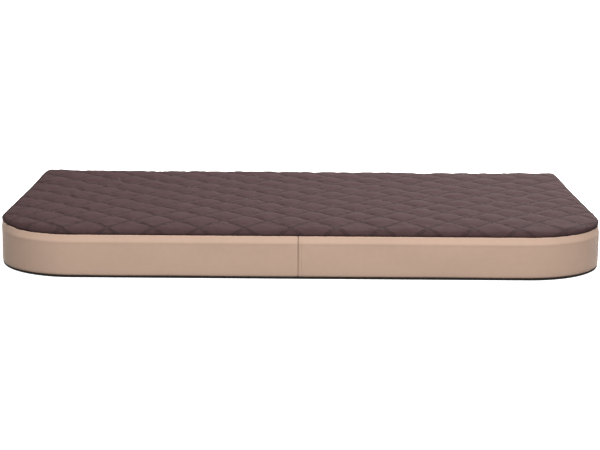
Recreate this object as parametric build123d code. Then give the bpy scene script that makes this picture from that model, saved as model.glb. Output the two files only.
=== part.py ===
"""Pet cushion bed: a quilted, zipped cover round a two-layer foam mattress.

Millimetres. The bed rests on z = 0 with +Z up. +X runs along the long side, -Y is
the front with the two large rounded corners, +Y the back with the zip. The origin
is the middle of the plan, on the floor.
"""
import os

from build123d import *

# Plan outline
LENGTH = 1000.0
DEPTH = 535.0
FRONT_R = 135.0
BACK_R = 16.0
SMALLEST_R = 3.0

# Heights
SEAM_Z = 70.0
TOP_Z = 86.0
FOAM_SPLIT_Z = 52.0
FAR = 700.0

# Cloth thicknesses
BOXING_T = 1.2
ZIP_ROOM = 2.6

# Cross-sections of the soft parts as (height, distance in from the widest outline)
BASE_OUTER = [(0.0, 2.5), (1.2, 1.0), (3.5, 0.6)]
BASE_INNER = [(1.2, 3.7), (3.5, 1.8), (4.5, 1.8)]
BOXING_OUTER = [(3.5, 0.6), (8.0, 0.0), (56.0, 0.0), (63.0, 0.6), (SEAM_Z, 2.5)]
FACE_OUTER = [(SEAM_Z, 2.5), (73.0, 2.2), (78.0, 3.4), (82.0, 6.5), (84.7, 11.0), (TOP_Z, 18.0)]
FACE_INNER = [(SEAM_Z, 3.5), (73.0, 3.2), (77.7, 4.4), (81.3, 7.2), (83.8, 11.6), (85.0, 18.3)]
WADDING_INNER = [(SEAM_Z, 4.3), (72.0, 6.5), (74.6, 10.0), (76.8, 14.5), (78.2, 20.0)]
BACKING_INNER = [(SEAM_Z, 4.9), (71.7, 7.1), (74.1, 10.5), (76.2, 14.9), (77.6, 20.3)]
LINER_OUTER = [(1.6, 6.2), (3.7, 4.0), (7.8, 2.2), (14.0, 1.5), (60.0, 1.9), (64.2, 3.3),
               (70.3, 7.4), (74.4, 12.3), (76.7, 17.3), (77.5, 22.0)]
FOAM_BASE = [(2.1, 6.4), (4.0, 4.4), (8.0, 2.7), (14.0, 2.0), (FOAM_SPLIT_Z, 2.0)]
FOAM_COMFORT = [(FOAM_SPLIT_Z, 2.0), (60.0, 2.4), (64.0, 3.7), (70.0, 7.7), (74.0, 12.6),
                (76.2, 17.5), (77.0, 22.0)]

# Quilting: diamonds on 45 degree lines
QUILT_SPACING = 51.8
QUILT_CROSSING = (129.6, -177.2)
QUILT_FLAT_INSET = 19.0
THREAD_W = 0.6
THREAD_T = 0.4

# Seams of the side band
FRONT_SEAM_X = -4.0
BACK_SEAM_X = 455.0
SEAM_GAP = 0.1
TOPSTITCH_OFFSET = 5.0

# Zip, in the back face
ZIP_Z = 35.0
ZIP_HALF_OPENING = 5.0
ZIP_TAPE_W = 15.0
ZIP_TAPE_END_X = 462.0
ZIP_TAPE_Y = (265.55, 266.25)
COIL_Y = (266.25, 268.45)
COIL_END_X = 451.0
COIL_HALF_GAP = 0.8
COIL_W = 2.2
ZIP_TOPSTITCH = 7.5
STOP_LENGTH = 3.0
STOP_RISE = 0.3

# Slider and pull
SLIDER_X = 444.5
SLIDER_LENGTH = 11.0
SLIDER_WIDTH = 8.5
PLATE_T = 1.2
INNER_PLATE_Y = 264.05
OUTER_PLATE_Y = 268.75
RAIL_W = 1.0
RAIL_FOOT_Y = 266.55
BRIDGE_W = 0.8
BRIDGE_LENGTH = 3.0
ARCH_LENGTH = 8.4
ARCH_RISE = 4.05
ARCH_T = 1.0
ARCH_W = 2.2
HINGE_Y = 271.4
PULL_T = 1.4
PULL_W = 7.0
PULL_LENGTH = 25.0
PULL_EYE = (4.8, 3.6)
PULL_SLOT = (9.0, 2.6)
HINGE_BAR = 1.4


def footprint(inset, z, back=0.0):
    """The plan outline drawn in by inset, and by back more along the zip side."""
    with BuildSketch(Plane.XY.offset(z)) as sketch:
        with Locations((0, -back / 2)):
            Rectangle(LENGTH - 2 * inset, DEPTH - 2 * inset - back)
        fillet(sketch.vertices().group_by(Axis.Y)[0], FRONT_R - inset)
        fillet(sketch.vertices().group_by(Axis.Y)[-1], max(BACK_R - inset, SMALLEST_R))
    return sketch.sketch


def slab(levels, back=0.0):
    """A solid that follows the outline through a list of (height, inset) levels."""
    return loft([footprint(inset, z, back) for z, inset in levels], ruled=True)


def block(x, y, z):
    """A box between two limits on each axis."""
    size = [b - a for a, b in (x, y, z)]
    centre = [(a + b) / 2 for a, b in (x, y, z)]
    return Pos(*centre) * Box(*size)


def grown(levels, t):
    """The same cross-section moved outwards by t, or inwards where t is negative."""
    return [(z, inset - t) for z, inset in levels]


def lengthened(levels, extra=1.0):
    """The same cross-section with straight ends added above and below."""
    first, last = levels[0], levels[-1]
    return [(first[0] - extra, first[1])] + levels + [(last[0] + extra, last[1])]


def side_band():
    """The whole boxing band as one closed ring, before its seams are cut."""
    return slab(BOXING_OUTER) - slab(lengthened(grown(BOXING_OUTER, -BOXING_T)))


def boxing_side(band, x, back_limit):
    """One side band: front half, front corner, end and a short return on the back."""
    gap = block((-FAR, FAR), (0, FAR), (-FAR, FAR)) & block(back_limit, (0, FAR), (-FAR, FAR))
    return (band & block(x, (-FAR, FAR), (-FAR, FAR))) - gap


def zip_strip(band, z):
    """A strip of the band along the back, above or below the zip."""
    reach = BACK_SEAM_X - SEAM_GAP / 2
    return band & block((-reach, reach), (DEPTH / 4, FAR), z)


def quilt_face():
    """The printed-side fabric of the quilted top, one closed sheet with its rolled edge."""
    below = [(SEAM_Z - 1.0, FACE_INNER[0][1])] + FACE_INNER
    return slab(FACE_OUTER) - slab(below)


def layer(outer, inner):
    """A cap-shaped layer open underneath, between two cross-sections."""
    below = [(SEAM_Z - 1.0, inner[0][1])] + inner
    return slab(outer) - slab(below)


def quilt_lines(angle, z):
    """Every quilting line that runs one way, cut off at the edge of the flat top."""
    flat = extrude(footprint(QUILT_FLAT_INSET, z), THREAD_T)
    count = int((LENGTH + DEPTH) / QUILT_SPACING)
    x, y = QUILT_CROSSING
    lines = []
    for i in range(-count, count + 1):
        strip = Pos(x, y, z + THREAD_T / 2) * Rot(0, 0, angle) * Pos(0, i * QUILT_SPACING, 0)
        cut = (strip * Box(4 * FAR, THREAD_W, THREAD_T)) & flat
        lines += [s for s in cut.solids() if s.volume > THREAD_W]
    return Compound(children=lines)


def raised_thread(x):
    """A line of stitches standing on the front of the band, following its profile."""
    skin = slab(grown(BOXING_OUTER, THREAD_T)) - slab(lengthened(BOXING_OUTER))
    ends = (BOXING_OUTER[0][0] + 1.0, SEAM_Z - 1.0)
    return skin & block((x, x + THREAD_W), (-FAR, -DEPTH / 4), ends)


def back_thread(x, z):
    """A straight line of stitches standing on the back face."""
    return block(x, (DEPTH / 2, DEPTH / 2 + THREAD_T), z)


def zip_end_thread():
    """The two short lines across the ends of the zip."""
    x = BACK_SEAM_X + THREAD_W * 5
    z = (ZIP_Z - ZIP_TOPSTITCH, ZIP_Z + ZIP_TOPSTITCH)
    return Compound(children=[back_thread((x, x + THREAD_W), z), back_thread((-x - THREAD_W, -x), z)])


def zip_tape(side):
    """One woven tape; side is +1 above the zip and -1 below it."""
    inner = ZIP_Z + side * (COIL_HALF_GAP + 0.2)
    z = sorted((inner, inner + side * ZIP_TAPE_W))
    return block((-ZIP_TAPE_END_X, ZIP_TAPE_END_X), ZIP_TAPE_Y, z)


def zip_coil(side):
    """One row of coil, standing on its tape."""
    inner = ZIP_Z + side * COIL_HALF_GAP
    z = sorted((inner, inner + side * COIL_W))
    return block((-COIL_END_X, COIL_END_X), COIL_Y, z)


def zip_stops(x, split):
    """The metal stop at one end of the zip: one on each row, or one across both."""
    y = (COIL_Y[0], COIL_Y[1] + STOP_RISE)
    reach = COIL_HALF_GAP + COIL_W
    if not split:
        return block(x, y, (ZIP_Z - reach, ZIP_Z + reach))
    upper = block(x, y, (ZIP_Z + COIL_HALF_GAP, ZIP_Z + reach))
    lower = block(x, y, (ZIP_Z - reach, ZIP_Z - COIL_HALF_GAP))
    return Compound(children=[upper, lower])


def plate(y):
    """One plate of the slider, rounded at its corners."""
    x = (SLIDER_X - SLIDER_LENGTH / 2, SLIDER_X + SLIDER_LENGTH / 2)
    z = (ZIP_Z - SLIDER_WIDTH / 2, ZIP_Z + SLIDER_WIDTH / 2)
    body = block(x, (y, y + PLATE_T), z)
    return fillet(body.edges().filter_by(Axis.Y), 1.6)


def arch():
    """The loop on the slider that the pull hangs from."""
    foot = OUTER_PLATE_Y + PLATE_T
    with BuildSketch() as sketch:
        with Locations((0, ARCH_RISE / 2)):
            Rectangle(ARCH_LENGTH, ARCH_RISE)
        fillet(sketch.vertices().group_by(Axis.Y)[-1], 1.6)
        with Locations((0, (ARCH_RISE - ARCH_T) / 2)):
            Rectangle(ARCH_LENGTH - 2 * ARCH_T, ARCH_RISE - ARCH_T, mode=Mode.SUBTRACT)
    solid = extrude(sketch.sketch, ARCH_W / 2, both=True)
    return Pos(SLIDER_X, foot, ZIP_Z) * solid


def slider():
    """The slider: two plates, the bridge between them, two side rails and the arch."""
    tail, nose = SLIDER_X - SLIDER_LENGTH / 2, SLIDER_X + SLIDER_LENGTH / 2
    half = SLIDER_WIDTH / 2
    rail_x = (tail + 1.7, nose - 1.7)
    bridge_x = (nose - 1.0 - BRIDGE_LENGTH, nose - 1.0)
    bridge_z = (ZIP_Z - BRIDGE_W / 2, ZIP_Z + BRIDGE_W / 2)
    body = plate(INNER_PLATE_Y) + plate(OUTER_PLATE_Y) + arch()
    body += block(bridge_x, (INNER_PLATE_Y, OUTER_PLATE_Y + PLATE_T), bridge_z)
    for z in ((ZIP_Z + half - RAIL_W, ZIP_Z + half), (ZIP_Z - half, ZIP_Z - half + RAIL_W)):
        body += block(rail_x, (RAIL_FOOT_Y, OUTER_PLATE_Y + PLATE_T / 2), z)
    return body


def pull_tab():
    """The pull: a flat tab with an eye round the arch and a finger slot."""
    with BuildSketch() as sketch:
        with Locations((HINGE_BAR / 2 - PULL_LENGTH / 2, 0)):
            Rectangle(PULL_LENGTH, PULL_W)
        fillet(sketch.vertices().group_by(Axis.X)[0], 3.0)
        fillet(sketch.vertices().group_by(Axis.X)[-1], 0.6)
        with Locations((-HINGE_BAR / 2 - PULL_EYE[0] / 2, 0)):
            Rectangle(*PULL_EYE, mode=Mode.SUBTRACT)
        with Locations((3.0 - PULL_LENGTH + PULL_SLOT[0] / 2, 0)):
            SlotOverall(*PULL_SLOT, mode=Mode.SUBTRACT)
    tab = extrude(sketch.sketch, PULL_T / 2, both=True)
    nose = tab.edges().filter_by(Axis.Y).sort_by(Axis.X)[-2:]
    tab = fillet(nose, 0.5)
    return Pos(SLIDER_X, HINGE_Y, ZIP_Z) * Rot(90, 0, 0) * tab


def nodes():
    """Every part of the bed by name."""
    band = side_band()
    strip_top = (ZIP_Z + ZIP_HALF_OPENING, SEAM_Z + 1.0)
    strip_low = (BOXING_OUTER[0][0] - 1.0, ZIP_Z - ZIP_HALF_OPENING)
    seam = (FRONT_SEAM_X - SEAM_GAP / 2, FRONT_SEAM_X + SEAM_GAP / 2)
    back = BACK_SEAM_X + SEAM_GAP / 2
    stop_x = (COIL_END_X, COIL_END_X + STOP_LENGTH)
    stitch = (-BACK_SEAM_X + 1.0, BACK_SEAM_X - 1.0)
    up, down = ZIP_Z + ZIP_TOPSTITCH, ZIP_Z - ZIP_TOPSTITCH
    return {
        "base_panel": slab(BASE_OUTER) - slab(BASE_INNER),
        "boxing_left": boxing_side(band, (-FAR, seam[0]), (-back, FAR)),
        "boxing_right": boxing_side(band, (seam[1], FAR), (-FAR, back)),
        "zip_strip_upper": zip_strip(band, strip_top),
        "zip_strip_lower": zip_strip(band, strip_low),
        "front_seam_topstitch": raised_thread(FRONT_SEAM_X + TOPSTITCH_OFFSET),
        "top_quilt_face": quilt_face(),
        "top_quilt_wadding": layer(FACE_INNER, WADDING_INNER),
        "top_quilt_backing": layer(WADDING_INNER, BACKING_INNER),
        "quilting_thread_rising": quilt_lines(45, TOP_Z),
        "quilting_thread_falling": quilt_lines(-45, TOP_Z + THREAD_T),
        "inner_liner": slab(LINER_OUTER, ZIP_ROOM) - slab(FOAM_BASE + FOAM_COMFORT[1:], ZIP_ROOM),
        "foam_base_layer": slab(FOAM_BASE, ZIP_ROOM),
        "foam_comfort_layer": slab(FOAM_COMFORT, ZIP_ROOM),
        "zip_tape_upper": zip_tape(1),
        "zip_tape_lower": zip_tape(-1),
        "zip_coil_upper": zip_coil(1),
        "zip_coil_lower": zip_coil(-1),
        "zip_top_stops": zip_stops(stop_x, True),
        "zip_bottom_stop": zip_stops((-stop_x[1], -stop_x[0]), False),
        "zip_topstitch_upper": back_thread(stitch, (up, up + THREAD_W)),
        "zip_topstitch_lower": back_thread(stitch, (down - THREAD_W, down)),
        "zip_end_topstitch": zip_end_thread(),
        "zip_slider": slider(),
        "pull_tab": pull_tab(),
    }


os.makedirs("parts", exist_ok=True)
for name, shape in nodes().items():
    export_step(shape, f"parts/{name}.step")
    size = shape.bounding_box().size
    print(f"{name:26s} {size.X:8.1f} {size.Y:8.1f} {size.Z:8.1f}  {len(shape.solids())} solid(s)")
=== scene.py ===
# %% [markdown]
# # A quilted pet bed
# The bed is a flat foam pad in a sewn cover: a brown diamond-quilted top, a tan band
# round the sides and a dark base cloth, closed by a zip along the back. The packed
# CAD part is the frame, and every soft piece is made here at the place and size that
# the frame gives it.

# %% Load the frame
import math

import bmesh
import bpy
import numpy as np
from mathutils import Matrix, Vector, noise
from mathutils.geometry import delaunay_2d_cdt


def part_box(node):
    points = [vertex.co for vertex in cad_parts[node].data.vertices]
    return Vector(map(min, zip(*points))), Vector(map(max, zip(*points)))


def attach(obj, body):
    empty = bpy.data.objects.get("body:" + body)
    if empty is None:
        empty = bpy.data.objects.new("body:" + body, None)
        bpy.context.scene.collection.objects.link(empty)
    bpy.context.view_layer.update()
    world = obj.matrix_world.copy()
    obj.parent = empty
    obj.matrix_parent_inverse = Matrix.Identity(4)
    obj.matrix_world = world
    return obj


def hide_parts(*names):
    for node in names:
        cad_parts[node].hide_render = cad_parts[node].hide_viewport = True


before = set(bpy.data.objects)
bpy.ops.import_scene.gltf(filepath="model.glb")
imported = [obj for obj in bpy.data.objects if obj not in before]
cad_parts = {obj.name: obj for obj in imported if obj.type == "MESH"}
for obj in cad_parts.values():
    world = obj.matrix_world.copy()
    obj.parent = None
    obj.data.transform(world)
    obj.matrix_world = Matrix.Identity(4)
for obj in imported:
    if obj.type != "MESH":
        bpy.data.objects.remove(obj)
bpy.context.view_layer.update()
MM = 0.001

# %% [markdown]
# ## The outline
# Seen from above the bed is a rectangle with two large front corners and two small
# back corners. Almost every piece follows that outline, so it is written once, as a
# point and an outward direction for each distance walked from the middle of the front.

# %% Outline sizes from the frame
left_lo, left_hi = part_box("boxing_left")
right_lo, right_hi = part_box("boxing_right")
LENGTH = right_hi.x - left_lo.x
DEPTH = left_hi.y - left_lo.y
FRONT_R = 135 * MM
BACK_R = 16 * MM
FRONT_SEAM_X = (left_hi.x + right_lo.x) / 2
BACK_SEAM_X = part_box("zip_strip_upper")[1].x
DIAMOND = 73.3 * MM
LINE_GAP = DIAMOND / math.sqrt(2)
QUILT_TURN = math.radians(45.0) + 0.0089
QUILT_CROSSING = (129.6 * MM, -177.2 * MM)
SIDE = [LENGTH / 2 - FRONT_R, FRONT_R * math.pi / 2, DEPTH - FRONT_R - BACK_R,
        BACK_R * math.pi / 2, LENGTH / 2 - BACK_R]
MARKS = np.concatenate([[0.0], np.cumsum(SIDE)])
HALF_WAY = MARKS[-1]
print("half way round", round(HALF_WAY / MM, 1), "mm")


# %% Walking round the outline
def rim(walk):
    """Point and outward direction at each distance walked; the left half mirrors the right."""
    walk = (np.asarray(walk, float) + HALF_WAY) % (2 * HALF_WAY) - HALF_WAY
    t = np.abs(walk)
    side = np.where(walk < 0, -1.0, 1.0)
    x, y, nx, ny = (np.zeros_like(t) for _ in range(4))
    for k, (a, b) in enumerate(zip(MARKS[:-1], MARKS[1:])):
        on = (t >= a) & (t <= b + 1e-12)
        d = t[on] - a
        if k == 0:
            x[on], y[on], nx[on], ny[on] = d, -DEPTH / 2, 0, -1
        elif k == 2:
            x[on], y[on], nx[on], ny[on] = LENGTH / 2, -DEPTH / 2 + FRONT_R + d, 1, 0
        elif k == 4:
            x[on], y[on], nx[on], ny[on] = LENGTH / 2 - BACK_R - d, DEPTH / 2, 0, 1
        else:
            r, back = (FRONT_R, -1) if k == 1 else (BACK_R, 1)
            turn = d / r - (math.pi / 2 if k == 1 else 0)
            nx[on], ny[on] = np.cos(turn), np.sin(turn)
            x[on] = LENGTH / 2 - r + r * nx[on]
            y[on] = back * (DEPTH / 2 - r) + r * ny[on]
    return np.column_stack([x * side, y]), np.column_stack([nx * side, ny])


def stations(start, end, step):
    """Distances from start to end, about step apart, that keep the ends of every corner."""
    marks = [m for m in np.concatenate([-MARKS[::-1], MARKS, 2 * HALF_WAY - MARKS[::-1]])
             if start < m < end]
    stops = np.unique(np.round([start, *marks, end], 9))
    runs = [np.linspace(a, b, max(2, math.ceil((b - a) / step) + 1))[:-1]
            for a, b in zip(stops[:-1], stops[1:])]
    return np.concatenate(runs + [[end]])


def depth_inside(x, y):
    """Distance in from the outline, below zero outside it, and the outward direction."""
    r = np.where(y < 0, FRONT_R, BACK_R)
    qx, qy = np.abs(x) - (LENGTH / 2 - r), np.abs(y) - (DEPTH / 2 - r)
    px, py = np.maximum(qx, 0), np.maximum(qy, 0)
    far = np.hypot(px, py)
    corner = (qx > 0) & (qy > 0)
    nx = np.where(corner, px / np.maximum(far, 1e-9), (qx >= qy).astype(float))
    ny = np.where(corner, py / np.maximum(far, 1e-9), (qx < qy).astype(float))
    depth = r - far - np.minimum(np.maximum(qx, qy), 0)
    return depth, np.column_stack([nx * np.sign(x), ny * np.sign(y)])


print("corner test", np.round(rim([MARKS[1], MARKS[2]])[0] / MM, 1).tolist())


# %% [markdown]
# ## Shared helpers
# Cloth panels are flat patterns first: a square grid cut to the outline, with the grid
# turned so that quilting lines can run along its edges. A constrained Delaunay
# triangulation joins the grid to the cut edge, and the grid's triangles are joined
# back into squares, because cloth bends more evenly on squares.

# %% Flat patterns
def flat_pattern(inset, step, turn=0.0, through=(0.0, 0.0), crowd=0.0, every_gap=1.0):
    """Points and faces inside the outline drawn in by inset; rim points come first.

    The grid lines may crowd together at each line gap, where the cloth bends most."""
    walk = stations(0.0, 2 * HALF_WAY, step)[:-1]
    points, out = rim(walk)
    edge = points - out * inset
    reach = np.arange(-int(LENGTH / step), int(LENGTH / step) + 1) * step
    reach = reach - crowd * every_gap / (2 * math.pi) * np.sin(2 * math.pi * reach / every_gap)
    gx, gy = np.meshgrid(reach, reach)
    c, s = math.cos(turn), math.sin(turn)
    x, y = through[0] + gx * c - gy * s, through[1] + gx * s + gy * c
    keep = depth_inside(x, y)[0] > inset + 0.55 * step
    grid = np.column_stack([x[keep], y[keep]])
    every = np.vstack([edge, grid])
    n = len(edge)
    loop = [(k, (k + 1) % n) for k in range(n)]
    verts, _, faces, _, _, _ = delaunay_2d_cdt([Vector(p) for p in every], loop, [], 1, 1e-7)
    return n, np.array([v[:] for v in verts]), [list(f) for f in faces]


def link_up(name, data):
    """A new object with this data, at the origin and in the scene."""
    obj = bpy.data.objects.new(name, data)
    bpy.context.scene.collection.objects.link(obj)
    return obj


def new_object(name, verts, faces, edges=(), smooth=True):
    """A mesh object, smooth unless told otherwise."""
    mesh = bpy.data.meshes.new(name)
    mesh.from_pydata([tuple(v) for v in verts], list(edges), faces)
    mesh.validate()
    if smooth and faces:
        mesh.polygons.foreach_set("use_smooth", [True] * len(mesh.polygons))
    return link_up(name, mesh)


def points_of(mesh):
    """The mesh's points as an array."""
    out = np.zeros(len(mesh.vertices) * 3)
    mesh.vertices.foreach_get("co", out)
    return out.reshape(-1, 3)


def set_points(obj, points):
    """Moves every point of an object's mesh."""
    obj.data.vertices.foreach_set("co", np.asarray(points, np.float32).ravel())
    obj.data.update()


def normals_of(obj, points):
    """The outward direction at each point, as if the mesh stood at those points."""
    kept = points_of(obj.data)
    set_points(obj, points)
    out = np.zeros(len(points) * 3)
    obj.data.vertex_normals.foreach_get("vector", out)
    set_points(obj, kept)
    return out.reshape(-1, 3)


def join_squares(obj, inside):
    """Joins pairs of triangles that make a square, away from the rolled edge."""
    bm = bmesh.new()
    bm.from_mesh(obj.data)
    faces = [f for f in bm.faces if all(inside[v.index] for v in f.verts)]
    bmesh.ops.join_triangles(bm, faces=faces, angle_face_threshold=math.radians(3),
                             angle_shape_threshold=math.radians(4))
    bm.to_mesh(obj.data)
    bm.free()


def lay_uv(obj, uv):
    """Gives the mesh a UV map in metres, one pair for each vertex."""
    layer = obj.data.uv_layers.new(name="cloth")
    index = np.zeros(len(obj.data.loops), np.int32)
    obj.data.loops.foreach_get("vertex_index", index)
    layer.data.foreach_set("uv", np.asarray(uv, np.float32)[index].ravel())


def run_along(points):
    """Distance along a run of points, at each of them."""
    return np.concatenate([[0.0], np.cumsum(np.hypot(*np.diff(points, axis=0).T))])


def strip_faces(rows, cols):
    """Squares between rows of points, in the order that faces outward on the band."""
    return [[i * cols + j, (i + 1) * cols + j, (i + 1) * cols + j + 1, i * cols + j + 1]
            for i in range(rows - 1) for j in range(cols - 1)]


def chaikin(points, rounds=2):
    """Rounds a run of points by cutting its corners; the ends stay."""
    p = np.asarray(points, float)
    for _ in range(rounds):
        a, b = p[:-1], p[1:]
        cut = np.empty((2 * len(a), p.shape[1]))
        cut[0::2], cut[1::2] = 0.75 * a + 0.25 * b, 0.25 * a + 0.75 * b
        p = np.vstack([p[:1], cut, p[-1:]])
    return p


FACE_T, BACKING_T, BASE_T, LINER_T, TAPE_T = 0.7 * MM, 0.35 * MM, 0.4 * MM, 0.3 * MM, 0.5 * MM


def thicken(obj, amount):
    """Gives a sheet its cloth thickness, inwards from the face that shows."""
    solid = obj.modifiers.new("cloth_thickness", "SOLIDIFY")
    solid.thickness, solid.offset, solid.use_rim = amount, -1, True


def ripple(x, y, z, size):
    """Smooth noise from -1 to 1 with features about size across."""
    return noise.noise(Vector((x / size, y / size, z / size)))


# %% [markdown]
# ## Shared shader groups
# Four effects are node groups with named inputs: the crossing threads of a plain weave,
# the uneven tone of dyed cloth, the fine speckle of foam, rubber and paint, and the
# creases along quilting lines.

# %% Group builder
def plug(tree, socket, value):
    """Links a socket to another one, or sets it to a plain value."""
    if isinstance(value, bpy.types.NodeSocket):
        tree.links.new(value, socket)
    else:
        socket.default_value = value


def fill(tree, node, **values):
    """Fills a node's inputs by name, with an underscore for each space; returns the node."""
    for label, value in values.items():
        plug(tree, node.inputs[label.replace("_", " ")], value)
    return node


def add(tree, kind, **values):
    """Adds a node and fills its inputs."""
    return fill(tree, tree.nodes.new(kind), **values)


def shader_group(name, inputs, outputs):
    """An empty shader group with its sockets, its input node and its output node."""
    tree = bpy.data.node_groups.new(name, "ShaderNodeTree")
    kinds = {float: "NodeSocketFloat", tuple: "NodeSocketColor", Vector: "NodeSocketVector"}
    for label, value in inputs.items():
        socket = tree.interface.new_socket(label, in_out="INPUT", socket_type=kinds[type(value)])
        socket.default_value = value
    for label, kind in outputs.items():
        tree.interface.new_socket(label, in_out="OUTPUT", socket_type=kinds[kind])
    return tree, tree.nodes.new("NodeGroupInput"), tree.nodes.new("NodeGroupOutput")


def math_node(tree, operation, *values):
    """A math node fed by sockets or numbers; returns its output."""
    node = tree.nodes.new("ShaderNodeMath")
    node.operation = operation
    for socket, value in zip(node.inputs, values):
        plug(tree, socket, value)
    return node.outputs[0]


def blend_colour(tree, factor, a, b):
    """Mixes two colours by a factor; each may be a socket or a colour."""
    node = tree.nodes.new("ShaderNodeMix")
    node.data_type = "RGBA"
    for number, value in ((0, factor), (6, a), (7, b)):
        plug(tree, node.inputs[number], value)
    return node.outputs[2]


# %% Plain weave
def make_weave():
    """Threads that pass over and under each other, from a flat map in metres."""
    tree, start, end = shader_group(
        "plain_weave", {"Map": Vector((0, 0, 0)), "Thread": 0.5 * MM},
        {"Height": float, "Gap": float})
    split = add(tree, "ShaderNodeSeparateXYZ", Vector=start.outputs["Map"])
    rate = math_node(tree, "DIVIDE", math.pi, start.outputs["Thread"])
    across = math_node(tree, "SINE", math_node(tree, "MULTIPLY", split.outputs[0], rate))
    along = math_node(tree, "SINE", math_node(tree, "MULTIPLY", split.outputs[1], rate))
    crossed = math_node(tree, "MULTIPLY", across, along)
    edge = math_node(tree, "MINIMUM", math_node(tree, "ABSOLUTE", across),
                     math_node(tree, "ABSOLUTE", along))
    gap = math_node(tree, "SUBTRACT", 1.0, edge)
    fill(tree, end, Height=math_node(tree, "MULTIPLY_ADD", crossed, 0.5, 0.5),
         Gap=math_node(tree, "POWER", gap, 4.0))
    return tree


# %% Uneven dye
def make_dye():
    """Broad and fine changes of tone between a light and a dark colour."""
    tree, start, end = shader_group(
        "uneven_dye", {"Place": Vector((0, 0, 0)), "Patch": 40 * MM, "Amount": 0.5,
                       "Light": (1.0, 1.0, 1.0, 1.0), "Dark": (0.0, 0.0, 0.0, 1.0)},
        {"Colour": tuple, "Tone": float})
    tones = []
    for share, detail in ((1.0, 2.0), (9.0, 3.0)):
        scale = math_node(tree, "DIVIDE", share, start.outputs["Patch"])
        cloud = add(tree, "ShaderNodeTexNoise", Vector=start.outputs["Place"], Scale=scale, Detail=detail)
        tones.append(cloud.outputs[0])
    both = math_node(tree, "MULTIPLY", math_node(tree, "ADD", tones[0], tones[1]), 0.5)
    spread = math_node(tree, "MULTIPLY", math_node(tree, "SUBTRACT", both, 0.5), 3.0)
    tone = math_node(tree, "ADD", math_node(tree, "MULTIPLY", spread, start.outputs["Amount"]), 0.5)
    colour = blend_colour(tree, tone, start.outputs["Dark"], start.outputs["Light"])
    fill(tree, end, Colour=colour, Tone=tone)
    return tree


# %% Speckle
def make_speckle():
    """Small pits or grains, as in foam, moulded rubber and paint."""
    tree, start, end = shader_group(
        "fine_speckle", {"Place": Vector((0, 0, 0)), "Grain": 1.0 * MM},
        {"Height": float, "Mask": float})
    cells = add(tree, "ShaderNodeTexVoronoi", Vector=start.outputs["Place"],
                Scale=math_node(tree, "DIVIDE", 1.0, start.outputs["Grain"]))
    pits = cells.outputs["Distance"]
    fill(tree, end, Height=pits, Mask=math_node(tree, "LESS_THAN", pits, 0.25))
    return tree


# %% Quilted creases
def make_crease():
    """How near the cloth is to a stitched line, and the small puckers that cross the line."""
    tree, start, end = shader_group(
        "quilted_crease", {"Map": Vector((0, 0, 0)), "Crossing": Vector((0, 0, 0)), "Turn": 0.0,
                           "Line Gap": 50 * MM, "Width": 5.5 * MM},
        {"Crease": float, "Pucker": float})
    shift = add(tree, "ShaderNodeVectorMath")
    shift.operation = "SUBTRACT"
    for socket, label in zip(shift.inputs, ("Map", "Crossing")):
        plug(tree, socket, start.outputs[label])
    turned = add(tree, "ShaderNodeVectorRotate", Vector=shift.outputs[0],
                 Angle=math_node(tree, "MULTIPLY", start.outputs["Turn"], -1.0))
    turned.rotation_type = "Z_AXIS"
    split = add(tree, "ShaderNodeSeparateXYZ", Vector=turned.outputs[0])
    creases, puckers = [], []
    for across, along in ((0, 1), (1, 0)):
        cells = math_node(tree, "DIVIDE", split.outputs[across], start.outputs["Line Gap"])
        off = math_node(tree, "MULTIPLY", math_node(tree, "PINGPONG", cells, 0.5),
                        start.outputs["Line Gap"])
        for reach, kept in ((1.0, creases), (3.0, puckers)):
            width = math_node(tree, "MULTIPLY", start.outputs["Width"], reach)
            near = add(tree, "ShaderNodeMapRange", Value=off, From_Max=width, To_Min=1.0, To_Max=0.0)
            near.interpolation_type = "SMOOTHSTEP"
            kept.append(near.outputs[0])
        where = add(tree, "ShaderNodeCombineXYZ",
                    X=math_node(tree, "DIVIDE", split.outputs[along], 6 * MM),
                    Y=math_node(tree, "DIVIDE", split.outputs[across], 30 * MM))
        fold = add(tree, "ShaderNodeTexNoise", Vector=where.outputs[0], Scale=1.0, Detail=0.5)
        swing = math_node(tree, "SUBTRACT", fold.outputs[0], 0.5)
        puckers[-1] = math_node(tree, "MULTIPLY", swing, puckers[-1])
    fill(tree, end, Crease=math_node(tree, "MAXIMUM", *creases),
         Pucker=math_node(tree, "ADD", *puckers))
    return tree


WEAVE, DYE, SPECKLE, CREASE = make_weave(), make_dye(), make_speckle(), make_crease()
print("shader groups", [g.name for g in (WEAVE, DYE, SPECKLE, CREASE)])


# %% [markdown]
# ## Cloth, foam and metal materials
# A cloth material is the same recipe each time: the dye group gives the colour, the
# weave group gives a small bump and darker gaps between threads, and the sheen is the
# fuzz that catches light at a glancing angle. What changes is colour, thread and gloss.

# %% Material builders
def start_material(name, rough, sheen=0.0, metallic=0.0, specular=0.5):
    """A node material with its plain numbers set on the shader itself."""
    mat = bpy.data.materials.new(name)
    mat.use_nodes = True
    shader = fill(mat.node_tree, mat.node_tree.nodes["Principled BSDF"], Roughness=rough,
                  Metallic=metallic, Specular_IOR_Level=specular, Sheen_Weight=sheen,
                  Sheen_Roughness=0.4)
    return mat, mat.node_tree, shader


def use_group(tree, group, **values):
    """Places a shader group and fills its inputs from sockets or numbers."""
    node = tree.nodes.new("ShaderNodeGroup")
    node.node_tree = group
    return fill(tree, node, **values)


def raise_bump(tree, shader, height, depth, strength=1.0, under=None):
    """Turns a height into a normal; depth is in metres."""
    bump = add(tree, "ShaderNodeBump", Strength=strength, Distance=depth, Height=height)
    if under is not None:
        fill(tree, bump, Normal=under)
    fill(tree, shader, Normal=bump.outputs[0])
    return bump.outputs[0]


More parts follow.
